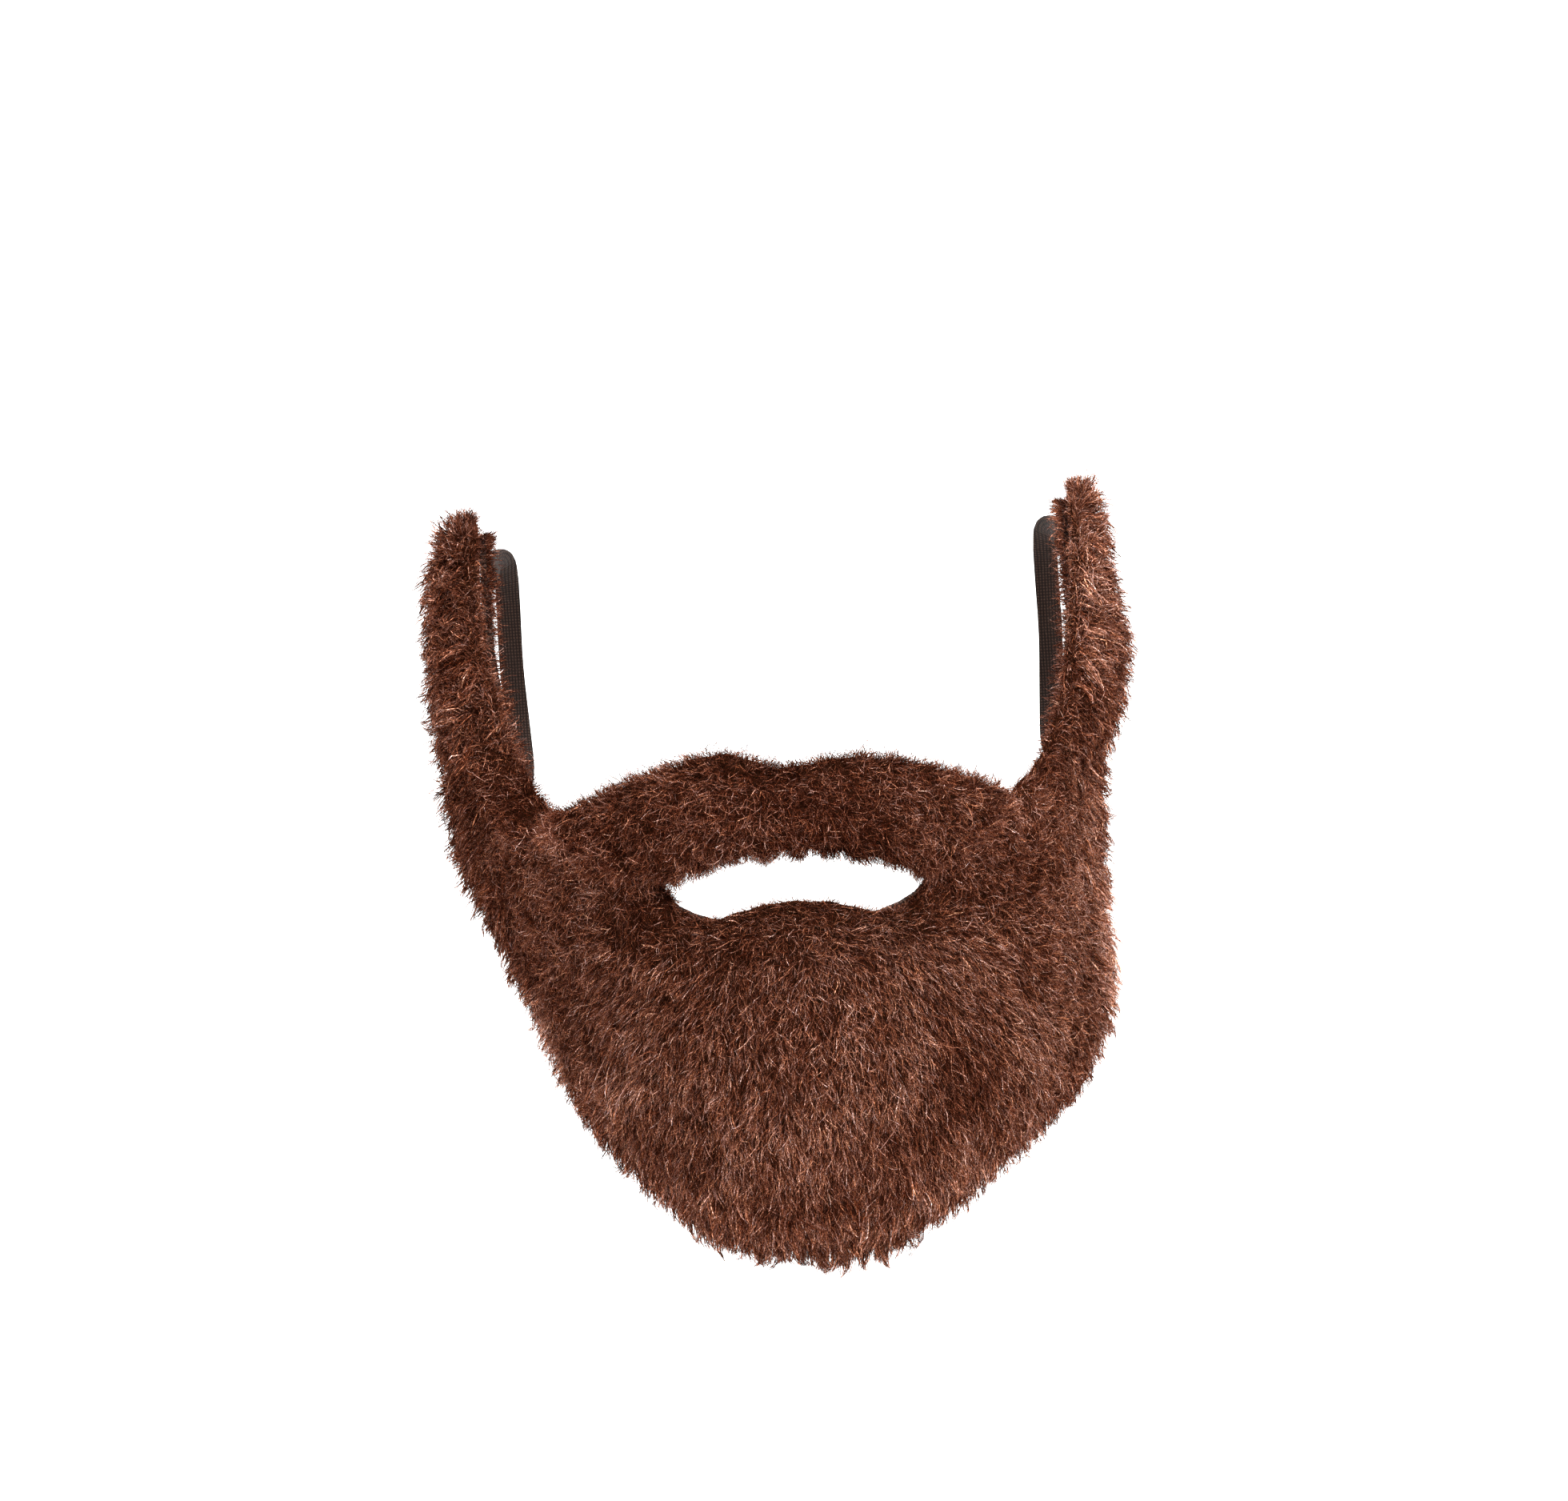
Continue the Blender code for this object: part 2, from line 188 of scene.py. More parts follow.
def mesh_arrays(piece):
    """The corner places, the corner normals and the triangles of a mesh."""
    mesh = piece.data
    mesh.calc_loop_triangles()
    places = np.empty(len(mesh.vertices) * 3)
    mesh.vertices.foreach_get("co", places)
    normals = np.empty(len(mesh.vertices) * 3, np.float32)
    mesh.vertex_normals.foreach_get("vector", normals)
    triangles = np.empty(len(mesh.loop_triangles) * 3, np.int32)
    mesh.loop_triangles.foreach_get("vertices", triangles)
    return places.reshape(-1, 3), normals.reshape(-1, 3).astype(float), triangles.reshape(-1, 3)


def unit(vectors):
    return vectors / np.maximum(np.linalg.norm(vectors, axis=-1, keepdims=True), 1e-12)


def smooth_step(low, high, value):
    share = np.clip((value - low) / (high - low), 0, 1)
    return share * share * (3 - 2 * share)


# ---------------------------------------------------------------- materials


def new_material(name):
    material = bpy.data.materials.new(name)
    material.use_nodes = True
    tree = material.node_tree
    return material, tree, tree.nodes["Principled BSDF"]


def node(tree, kind, **values):
    made = tree.nodes.new(kind)
    for key, value in values.items():
        if hasattr(made, key):
            setattr(made, key, value)
        else:
            made.inputs[key].default_value = value
    return made


def ramp(tree, stops):
    made = tree.nodes.new("ShaderNodeValToRGB")
    elements = made.color_ramp.elements
    while len(elements) < len(stops):
        elements.new(0.5)
    for element, (place, colour) in zip(elements, stops):
        element.position = place
        element.color = (*colour, 1.0)
    return made


def multiply(tree, first, second):
    mixed = tree.nodes.new("ShaderNodeMix")
    mixed.data_type = "RGBA"
    mixed.blend_type = "MULTIPLY"
    mixed.inputs["Factor"].default_value = 1.0
    tree.links.new(first, mixed.inputs[6])
    tree.links.new(second, mixed.inputs[7])
    return mixed.outputs[2]


def strand_material():
    """Crimped hair: its tint runs across the strand map, and root to tip runs up it,
    with painted shade towards the roots and painted glints along each strand.
    """
    material, tree, surface = new_material("crimped_hair_strands")
    link = tree.links.new
    where = node(tree, "ShaderNodeUVMap", uv_map="OFBake")
    split = tree.nodes.new("ShaderNodeSeparateXYZ")
    link(where.outputs["UV"], split.inputs[0])
    tint = ramp(
        tree,
        [
            (0.0, (0.024, 0.005, 0.002)),
            (0.25, (0.059, 0.017, 0.0088)),
            (0.5, (0.167, 0.065, 0.041)),
            (0.75, (0.355, 0.171, 0.120)),
            (1.0, (0.680, 0.420, 0.335)),
        ],
    )
    link(split.outputs["X"], tint.inputs["Fac"])
    # Painted shade: each strand is darker towards its root, where the hair around it shadows it.
    depth = ramp(
        tree,
        [(0.0, (0.25, 0.17, 0.14)), (0.35, (0.73, 0.66, 0.61)), (0.8, (1, 1, 1)), (1.0, (1, 1, 1))],
    )
    link(split.outputs["Y"], depth.inputs["Fac"])
    # Painted highlights: a fine noise along each strand gives short bright glints between darker
    # stretches.
    stretch = tree.nodes.new("ShaderNodeMapping")
    stretch.inputs["Scale"].default_value = (60.0, 11.0, 1.0)
    link(where.outputs["UV"], stretch.inputs["Vector"])
    glint_noise = node(tree, "ShaderNodeTexNoise", Scale=1.0, Detail=1.0)
    glint_noise.noise_dimensions = "2D"
    link(stretch.outputs["Vector"], glint_noise.inputs["Vector"])
    glint = ramp(
        tree,
        [(0.34, (0.30, 0.24, 0.20)), (0.50, (0.82, 0.78, 0.75)), (0.60, (2.1, 2.18, 2.27)),
         (0.68, (3.6, 3.95, 4.3))],
    )
    link(glint_noise.outputs["Fac"], glint.inputs["Fac"])
    apart = tree.nodes.new("ShaderNodeMapping")
    apart.inputs["Location"].default_value = (7.3, 2.1, 0.0)
    apart.inputs["Scale"].default_value = (140.0, 0.6, 1.0)
    link(where.outputs["UV"], apart.inputs["Vector"])
    dye = node(tree, "ShaderNodeTexNoise", Scale=1.0, Detail=0.0)
    dye.noise_dimensions = "2D"
    link(apart.outputs["Vector"], dye.inputs["Vector"])
    hue = ramp(
        tree,
        [(0.36, (1.20, 0.97, 0.70)), (0.50, (1.0, 1.0, 1.0)), (0.64, (0.86, 1.04, 1.26))],
    )
    link(dye.outputs["Fac"], hue.inputs["Fac"])
    coloured = multiply(tree, tint.outputs["Color"], hue.outputs["Color"])
    shaded = multiply(tree, coloured, depth.outputs["Color"])
    link(multiply(tree, shaded, glint.outputs["Color"]), surface.inputs["Base Color"])
    surface.inputs["Roughness"].default_value = 0.6
    surface.inputs["Specular IOR Level"].default_value = 0.0
    return material


def under_material():
    """The dense dark hair that shows between the strands, near-black as painted shade of the deep
    hair.
    """
    material, tree, surface = new_material("crimped_hair_inside")
    link = tree.links.new
    where = tree.nodes.new("ShaderNodeTexCoord")
    fine = node(tree, "ShaderNodeTexNoise", Scale=900.0, Detail=3.0, Roughness=0.6)
    link(where.outputs["Object"], fine.inputs["Vector"])
    colour = ramp(tree, [(0.3, (0.008, 0.003, 0.001)), (0.7, (0.034, 0.010, 0.005))])
    link(fine.outputs["Fac"], colour.inputs["Fac"])
    link(colour.outputs["Color"], surface.inputs["Base Color"])
    bump = node(tree, "ShaderNodeBump", Strength=0.8, Distance=0.0006)
    link(fine.outputs["Fac"], bump.inputs["Height"])
    link(bump.outputs["Normal"], surface.inputs["Normal"])
    surface.inputs["Roughness"].default_value = 1.0
    surface.inputs["Specular IOR Level"].default_value = 0.0
    return material


def maths(tree, kind, first, second=0.0):
    """A Math node on sockets or numbers."""
    made = node(tree, "ShaderNodeMath", operation=kind)
    for socket, value in zip(made.inputs, (first, second)):
        if isinstance(value, (int, float)):
            socket.default_value = value
        else:
            tree.links.new(value, socket)
    return made.outputs[0]


def cloth_material():
    """Knitted cloth: columns of small V stitches in dark brown yarn, a little worn,
    and darker in the hollows between stitches as painted shade.
    """
    material, tree, surface = new_material("knitted_backing_cloth")
    link = tree.links.new
    where = node(tree, "ShaderNodeUVMap", uv_map="knit")
    split = tree.nodes.new("ShaderNodeSeparateXYZ")
    link(where.outputs["UV"], split.inputs[0])
    column = maths(tree, "FRACT", maths(tree, "DIVIDE", split.outputs["X"], KNIT_COLUMN))
    off_middle = maths(tree, "ABSOLUTE", maths(tree, "SUBTRACT", column, 0.5))
    slant = maths(tree, "MULTIPLY", off_middle, 1.3)
    row = maths(tree, "ADD", maths(tree, "DIVIDE", split.outputs["Y"], KNIT_ROW), slant)
    yarn = maths(tree, "COSINE", maths(tree, "MULTIPLY", row, 2 * math.pi))
    yarn = maths(tree, "ADD", maths(tree, "MULTIPLY", yarn, 0.5), 0.5)
    side = maths(tree, "SINE", maths(tree, "MULTIPLY", off_middle, 2 * math.pi))
    stitch = maths(tree, "MULTIPLY", yarn, maths(tree, "POWER", side, 0.6))
    fuzz = node(tree, "ShaderNodeTexNoise", Scale=1.4, Detail=4.0, Roughness=0.7)
    link(where.outputs["UV"], fuzz.inputs["Vector"])
    patchy = node(tree, "ShaderNodeTexNoise", Scale=0.06, Detail=2.0)
    link(where.outputs["UV"], patchy.inputs["Vector"])
    height = maths(tree, "ADD", stitch, maths(tree, "MULTIPLY", fuzz.outputs["Fac"], 0.5))
    # Painted shade: the colour darkens where the knit is low; the patchy noise is wear.
    shade = maths(tree, "MULTIPLY", height, maths(tree, "ADD", patchy.outputs["Fac"], 0.35))
    colour = ramp(
        tree,
        [(0.1, (0.007, 0.004, 0.003)), (0.55, (0.026, 0.013, 0.009)), (1.0, (0.075, 0.040, 0.029))],
    )
    link(shade, colour.inputs["Fac"])
    link(colour.outputs["Color"], surface.inputs["Base Color"])
    bump = node(tree, "ShaderNodeBump", Strength=0.9, Distance=0.0004)
    link(height, bump.inputs["Height"])
    link(bump.outputs["Normal"], surface.inputs["Normal"])
    surface.inputs["Roughness"].default_value = 0.95
    surface.inputs["Specular IOR Level"].default_value = 0.1
    return material


def elastic_material():
    """Woven elastic: cords along the band, crossed by fine weft, with paler worn ribs
    and the grooves between them darker as painted shade.
    """
    material, tree, surface = new_material("woven_elastic")
    link = tree.links.new
    where = node(tree, "ShaderNodeUVMap", uv_map="weave")
    split = tree.nodes.new("ShaderNodeSeparateXYZ")
    link(where.outputs["UV"], split.inputs[0])
    across = maths(tree, "MULTIPLY", split.outputs["X"], math.pi / CORD_SPACING)
    cords = maths(tree, "ABSOLUTE", maths(tree, "SINE", across))
    along = maths(tree, "MULTIPLY", split.outputs["Y"], 2 * math.pi / WEFT_SPACING)
    weft = maths(tree, "SINE", along)
    weft = maths(tree, "ADD", maths(tree, "MULTIPLY", weft, 0.3), 0.7)
    weave = maths(tree, "MULTIPLY", cords, weft)
    fuzz = node(tree, "ShaderNodeTexNoise", Scale=1.8, Detail=3.0)
    link(where.outputs["UV"], fuzz.inputs["Vector"])
    height = maths(tree, "ADD", weave, maths(tree, "MULTIPLY", fuzz.outputs["Fac"], 0.35))
    # The colour follows the weave's height: paler ribs as wear, darker grooves as painted shade.
    colour = ramp(
        tree,
        [(0.1, (0.008, 0.005, 0.004)), (0.6, (0.022, 0.012, 0.009)), (1.0, (0.058, 0.034, 0.026))],
    )
    link(maths(tree, "MULTIPLY", height, 0.8), colour.inputs["Fac"])
    link(colour.outputs["Color"], surface.inputs["Base Color"])
    bump = node(tree, "ShaderNodeBump", Strength=0.8, Distance=0.0003)
    link(height, bump.inputs["Height"])
    link(bump.outputs["Normal"], surface.inputs["Normal"])
    surface.inputs["Roughness"].default_value = 0.8
    surface.inputs["Specular IOR Level"].default_value = 0.1
    return material


def thread_material():
    """Twisted sewing thread in dark brown."""
    material, tree, surface = new_material("sewing_thread")
    link = tree.links.new
    where = tree.nodes.new("ShaderNodeTexCoord")
    twist = node(tree, "ShaderNodeTexNoise", Scale=2500.0, Detail=2.0)
    link(where.outputs["Object"], twist.inputs["Vector"])
    colour = ramp(tree, [(0.35, (0.010, 0.006, 0.005)), (0.65, (0.045, 0.026, 0.020))])
    link(twist.outputs["Fac"], colour.inputs["Fac"])
    link(colour.outputs["Color"], surface.inputs["Base Color"])
    surface.inputs["Roughness"].default_value = 0.75
    surface.inputs["Specular IOR Level"].default_value = 0.15
    return material


# ---------------------------------------------------------------- cloth and elastic


def make_backing_cloth():
    cloth = copy_of_node("backing", "backing_cloth")
    mesh = cloth.data
    knit = mesh.uv_layers.new(name="knit")
    for corner in mesh.loops:
        place = mesh.vertices[corner.vertex_index].co
        around = math.degrees(math.atan2(place.x / 0.070, -(place.y + 0.006) / 0.098))
        knit.data[corner.index].uv = (around * ARC_PER_DEGREE, place.z / MM)
    pick(cloth)
    bpy.ops.object.shade_smooth_by_angle(angle=math.radians(50))
    mesh.materials.append(cloth_material())
    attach(cloth, "root")
    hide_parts("backing")
    return cloth


def path_of_loop():
    """The places along the loop's middle line in its own plane, and how flat it lies there."""
    line = []
    for i in range(len(LOOP) - 1):
        four = [LOOP[min(max(i + step, 0), len(LOOP) - 1)] for step in (-1, 0, 1, 2)]
        for step in range(6):
            share = step / 6
            line.append([
                0.5 * (2 * b + (c - a) * share + (2 * a - 5 * b + 4 * c - d) * share**2
                       + (3 * b - a - 3 * c + d) * share**3)
                for a, b, c, d in zip(*four)
            ])
    return np.array(line + [list(LOOP[-1])])


def make_ear_loop(node_name, name, material):
    """A loop of flat woven elastic with rounded edges, its weave mapped along the band."""
    band = copy_of_node(node_name, name)
    mesh = band.data
    pick(band)
    bpy.ops.object.mode_set(mode="EDIT")
    bpy.ops.mesh.select_mode(type="EDGE")
    bpy.ops.mesh.select_all(action="DESELECT")
    shape = bmesh.from_edit_mesh(mesh)
    for edge in shape.edges:
        edge.select = edge.calc_face_angle(0) > math.radians(60)
    bmesh.update_edit_mesh(mesh)
    bpy.ops.mesh.bevel(offset=0.0004, segments=2, affect="EDGES")
    bpy.ops.object.mode_set(mode="OBJECT")
    line = path_of_loop()
    middle = abs(sum(vertex.co.x for vertex in mesh.vertices) / len(mesh.vertices)) / MM
    lengths = np.append(0, np.cumsum(np.linalg.norm(np.diff(line[:, 1:3], axis=0), axis=1)))
    weave = mesh.uv_layers.new(name="weave")
    mapped = []
    for vertex in mesh.vertices:
        x, y, z = vertex.co / MM
        gaps = np.hypot(line[:, 1] - y, line[:, 2] - z)
        near = int(np.argmin(gaps))
        ahead = line[min(near + 1, len(line) - 1)] - line[max(near - 1, 0)]
        ahead = ahead[1:3] / np.linalg.norm(ahead[1:3])
        off = np.array([y, z]) - line[near, 1:3]
        along = float(off @ ahead)
        flat = line[near, 3]
        beside = float(off[0] * ahead[1] - off[1] * ahead[0])
        mapped.append((flat * beside + (1 - flat) * (abs(x) - middle), lengths[near] + along))
    for corner in mesh.loops:
        weave.data[corner.index].uv = mapped[corner.vertex_index]
    bpy.ops.object.shade_smooth_by_angle(angle=math.radians(35))
    mesh.materials.append(material)
    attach(band, "root")
    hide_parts(node_name)
    return band


def make_stitches(name, starts, ends, lifts, thickness, material):
    """Short threads that rise out of the cloth and go back in, as one piece."""
    rings, sides = 4, 4
    count = len(starts)
    share = np.linspace(0, 1, rings)
    arch = np.sin(math.pi * share)[None, :, None] * thickness * 1.1 - thickness * 0.35
    middle = starts[:, None] + (ends - starts)[:, None] * share[None, :, None]
    middle = middle + lifts[:, None] * arch
    along = unit(ends - starts)
    beside = unit(np.cross(along, lifts))
    turns = 2 * math.pi * np.arange(sides) / sides
    ring = (beside[:, None] * np.cos(turns)[None, :, None]
            + lifts[:, None] * np.sin(turns)[None, :, None]) * thickness / 2
    corners = (middle[:, :, None] + ring[:, None]).reshape(-1, 3)
    faces = []
    for r in range(rings - 1):
        for k in range(sides):
            a, b = r * sides + k, r * sides + (k + 1) % sides
            faces.append((a, b, b + sides, a + sides))
    faces += [tuple(reversed(range(sides))), tuple((rings - 1) * sides + k for k in range(sides))]
    faces = np.array(faces)
    every = (np.arange(count)[:, None, None] * rings * sides + faces[None]).reshape(-1, 4)
    mesh = bpy.data.meshes.new(name)
    mesh.from_pydata(corners.tolist(), [], every.tolist())
    mesh.update()
    mesh.shade_smooth()
    piece = bpy.data.objects.new(name, mesh)
    bpy.context.scene.collection.objects.link(piece)
    pick(piece)
    bpy.ops.object.mode_set(mode="EDIT")
    bpy.ops.mesh.select_all(action="SELECT")
    bpy.ops.mesh.normals_make_consistent(inside=False)
    bpy.ops.object.mode_set(mode="OBJECT")
    mesh.materials.append(material)
    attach(piece, "root")
    return piece


def border_lines(cloth):
    """The inner face's border as lists of places, each with the way into the cloth."""
    shape = bmesh.new()
    shape.from_mesh(cloth.data)
    on_rim = {
        face for face in shape.faces
        if min(edge.calc_length() for edge in face.edges) < SHORT_SIDE
    }
    after = {}
    for edge in shape.edges:
        faces = list(edge.link_faces)
        if len(faces) != 2 or (faces[0] in on_rim) == (faces[1] in on_rim):
            continue
        face = faces[0] if faces[1] in on_rim else faces[1]
        middle = face.calc_center_median()
        if face.normal.dot(Vector((middle.x, middle.y, 0))) > 0:
            continue
        ends = list(edge.verts)
        loop = next(loop for loop in face.loops if loop.edge == edge)
        start, end = loop.vert, loop.link_loop_next.vert
        into = middle - (ends[0].co + ends[1].co) / 2
        into -= (end.co - start.co).normalized() * into.dot((end.co - start.co).normalized())
        after[start.index] = (end.index, np.array(start.co), np.array(into.normalized()),
                              np.array(face.normal))
    lines = []
    while after:
        first = next(iter(after))
        line, at = [], first
        while at in after:
            following, place, into, normal = after.pop(at)
            line.append((place, into, normal))
            at = following
        lines.append(line)
    shape.free()
    return lines


def sew_cloth_edge(cloth, material):
    """Overlock stitches round the cloth's cut edges, on the side that touches the face."""
    starts, ends, lifts = [], [], []
    for line in border_lines(cloth):
        places = np.array([place for place, _, _ in line])
        intos = np.array([into for _, into, _ in line])
        normals = np.array([normal for _, _, normal in line])
        gaps = np.linalg.norm(np.roll(places, -1, axis=0) - places, axis=1)
        lengths = np.append(0, np.cumsum(gaps))
        count = int(lengths[-1] / (OVERLOCK_SPACING * MM))
        at = np.linspace(0, lengths[-1], count, endpoint=False)
        closed = [np.vstack([each, each[:1]]) for each in (places, intos, normals)]
        place, into, normal = (
            np.stack([np.interp(at, lengths, each[:, k]) for k in range(3)], axis=1)
            for each in closed
        )
        into, normal = unit(into), unit(normal)
        along = unit(np.cross(into, normal))
        starts.append(place + into * 0.1 * MM - along * 0.6 * MM)
        ends.append(place + into * OVERLOCK_DEPTH * MM + along * 0.6 * MM)
        lifts.append(normal)
        starts.append(ends[-1])
        ends.append(starts[-2] + along * OVERLOCK_SPACING * MM)
        lifts.append(normal)
    return make_stitches("overlock_stitches", np.concatenate(starts), np.concatenate(ends),
                         np.concatenate(lifts), OVERLOCK_THREAD * MM, material)


def sew_loop_ends(material):
    """A zigzag of thread over each end of the elastic loops, on the side of the face."""
    starts, ends, lifts = [], [], []
    for side in (-1, 1):
        for near, far in LOOP_ENDS:
            near, far = np.array(near), np.array(far)
            along = unit(far - near)
            beside = np.array([-along[1], along[0]])
            zigzag = []
            for i in range(LOOP_TURNS):
                y, z = near + (far - near) * i / (LOOP_TURNS - 1)
                y, z = np.array([y, z]) + beside * (LOOP_ZIGZAG if i % 2 else -LOOP_ZIGZAG)
                zigzag.append((side * CLOTH_FACE * MM, y * MM, z * MM))
            zigzag = np.array(zigzag)
            starts.append(zigzag[:-1])
            ends.append(zigzag[1:])
            lifts.append(np.tile([-side, 0.0, 0.0], (LOOP_TURNS - 1, 1)))
    return make_stitches("loop_stitches", np.concatenate(starts), np.concatenate(ends),
                         np.concatenate(lifts), LOOP_THREAD * MM, material)


# ---------------------------------------------------------------- hair


def place_on_pattern(places):
    """Degrees round the head from the middle, and height in mm."""
    centre = np.interp(places[:, 2], HEAD_HEIGHTS, HEAD_CENTRES)
    across, forward = places[:, 0] / HEAD_HALF, (centre - places[:, 1]) / HEAD_FRONT
    return np.degrees(np.arctan2(across, forward)), places[:, 2] / MM


def random_directions(count):
    return unit(chance.normal(size=(count, 3)))


def patches(places, size, waves=20):
    """Smooth random values, mostly from -1 to 1, in patches of about this size."""
    picker = np.random.default_rng(int(size * 1e6))
    headings = unit(picker.normal(size=(waves, 3))) * math.pi / size
    headings *= picker.uniform(0.6, 1.5, waves)[:, None]
    phases = picker.uniform(0, 2 * math.pi, waves)
    return np.cos(places @ headings.T + phases).sum(axis=1) / math.sqrt(waves / 2)


def tufts(places):
    """High on the small tufts of hair, and low in the gaps between them."""
    return np.clip(patches(places, 0.0045), -1.6, 1.6)


def long_locks(places, frizz):
    """High and low in long locks that run down the combed chin."""
    stretched = places * np.array([1.0, 0.6, 0.22])
    return np.clip(patches(stretched, 0.0042), -1.6, 1.6) * (MOST_FRIZZ - frizz) / LESS_ON_CHIN


def near_seam(angle, height):
    """1 on the seams where the moustache runs into the beard, 0 from 6 mm off them."""
    flat = np.stack([np.abs(angle) * ARC_PER_DEGREE, height], axis=1)
    start, end = (np.array([turn * ARC_PER_DEGREE, z]) for turn, z in (SEAM_START, SEAM_END))
    along = end - start
    share = np.clip((flat - start) @ along / (along @ along), 0, 1)
    gap = np.linalg.norm(flat - start - share[:, None] * along, axis=1)
    return 1 - smooth_step(2.5, 6.5, gap)


def radial_of(places):
    radial = places.copy()
    radial[:, 2] = 0
    return unit(radial)


def near_hem(height, moustache):
    """1 at the lower end of the hair, where its tips hang free."""
    return 1 - smooth_step(-45, -39, height) if moustache else 1 - smooth_step(-88, -74, height)


def make_underhair(node_name, name, material):
    """The dense inside of a mass of hair, combed to soft tufts, under the strands."""
    under = copy_of_node(node_name, name)
    pick(under)
    bpy.ops.object.mode_set(mode="EDIT")
    bpy.ops.mesh.select_all(action="SELECT")
    bpy.ops.mesh.subdivide(number_cuts=1, smoothness=0.3)
    bpy.ops.object.mode_set(mode="OBJECT")
    before, normals, _ = mesh_arrays(under)
    turned = (normals * radial_of(before)).sum(axis=1)
    smoothed = {}
    for repeat in (2, 10):
        bpy.ops.object.mode_set(mode="EDIT")
        bpy.ops.mesh.select_all(action="SELECT")
        bpy.ops.mesh.vertices_smooth(factor=0.5, repeat=repeat)
        bpy.ops.object.mode_set(mode="OBJECT")
        smoothed[repeat] = mesh_arrays(under)[0]
    angle, height = place_on_pattern(before)
    free = 1 - near_seam(angle, height)
    outside = smooth_step(0.3, 0.75, turned)
    rim = smooth_step(-0.8, -0.4, turned) * (1 - outside)
    hem = rim * near_hem(height + 6, node_name == "moustache_hair")
    combed = before + (smoothed[10] - before) * (0.85 * outside * free + 0.9 * hem)[:, None]
    combed += (smoothed[2] - before) * (0.5 * (rim - hem) * free)[:, None]
    rough = (0.3 + 0.9 * smooth_step(62, 86, np.abs(angle))) * MM * tufts(before)
    combed += normals * (outside * free * rough)[:, None]
    under.data.vertices.foreach_set("co", combed.ravel())
    under.data.update()
    places, normals, triangles = mesh_arrays(under)
    sampled = (places.copy(), normals.copy(), triangles.copy())
    depth = (0.1 + 1.1 * outside + 0.7 * rim) * MM
    under.data.vertices.foreach_set("co", (places - normals * depth[:, None]).ravel())
    under.data.update()
    bpy.ops.object.shade_smooth()
    under.data.materials.append(material)
    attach(under, "root")
    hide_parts(node_name)
    return under, sampled


def on_cut_edge(corners):
    """True for the triangles of the cloth's cut edge, from their corners."""
    sides = np.linalg.norm(corners - np.roll(corners, 1, axis=1), axis=2)
    return sides.min(axis=1) < SHORT_SIDE


def rim_of_cloth(places, triangles):
    """A search tree of the places along the cloth's cut edge."""
    rim = np.unique(triangles[on_cut_edge(places[triangles])])
    tree = KDTree(len(rim))
    for i, corner in enumerate(rim):
        tree.insert(places[corner], i)
    tree.balance()
    return tree


def scatter(sampled, count, cloth_tree, cloth_rim):
    """Random roots on a mass of hair, leaving out what lies on the cloth."""
    places, normals, triangles = sampled
    corners = places[triangles]
    crossed = np.cross(corners[:, 1] - corners[:, 0], corners[:, 2] - corners[:, 0])
    areas = np.linalg.norm(crossed, axis=1) / 2
    middles = corners.mean(axis=1)
    turned = (unit(crossed) * radial_of(middles)).sum(axis=1)
    weights = areas * (1 + 0.6 * (np.abs(turned) < 0.55))
    for i in np.nonzero(turned < -0.1)[0]:
        weights[i] *= 0.65
        hit = cloth_tree.find_nearest(Vector(middles[i]), 0.0035)
        if hit[0] is not None and cloth_rim.find(Vector(middles[i]))[2] > 0.0065:
            weights[i] = 0.0
    chosen = chance.choice(len(triangles), count, p=weights / weights.sum())
    a, b = chance.random((2, count))
    flip = a + b > 1
    a[flip], b[flip] = 1 - a[flip], 1 - b[flip]
    share = np.stack([1 - a - b, a, b], axis=1)
    roots = (corners[chosen] * share[:, :, None]).sum(axis=1)
    outward = unit((normals[triangles[chosen]] * share[:, :, None]).sum(axis=1))
    return roots, outward


def frizz_of(angle, height, moustache):
    """How tangled the hair is: least on the combed chin, most in the cheeks."""
    if moustache:
        return np.full(len(angle), 0.85)
    chin = (1 - smooth_step(36, 62, np.abs(angle))) * (1 - smooth_step(-74, -56, height))
    return MOST_FRIZZ - LESS_ON_CHIN * chin


def combing_of(roots, outward, frizz, moustache):
    """The way each strand is combed along the surface: down and outwards, with swirls."""
    angle, height = place_on_pattern(roots)
    down = unit(outward * outward[:, 2:3] + np.array([0.0, 0.0, -1.0]))
    around = np.stack([-roots[:, 1], roots[:, 0], np.zeros(len(roots))], axis=1)
    around = unit(around - outward * (around * outward).sum(axis=1)[:, None])
    side = np.sign(angle)
    if moustache:
        sideways = side * 0.7 * smooth_step(0, 16, np.abs(angle))
    else:
        by_mouth = smooth_step(-88, -58, height)
        sideways = np.clip(angle, -45, 45) * 0.009 * (1 + 1.2 * by_mouth)
        back = smooth_step(45, 65, np.abs(angle))
        sideways = sideways * (1 - back) + side * 0.35 * back
    comb = unit(down + around * sideways[:, None])
    swirl = (0.10 + 0.5 * frizz**2) * patches(roots, 0.009)
    swirl += chance.normal(size=len(roots)) * (0.30 + 1.0 * frizz**2)
    second = np.cross(outward, comb)
    return unit(comb * np.cos(swirl)[:, None] + second * np.sin(swirl)[:, None])


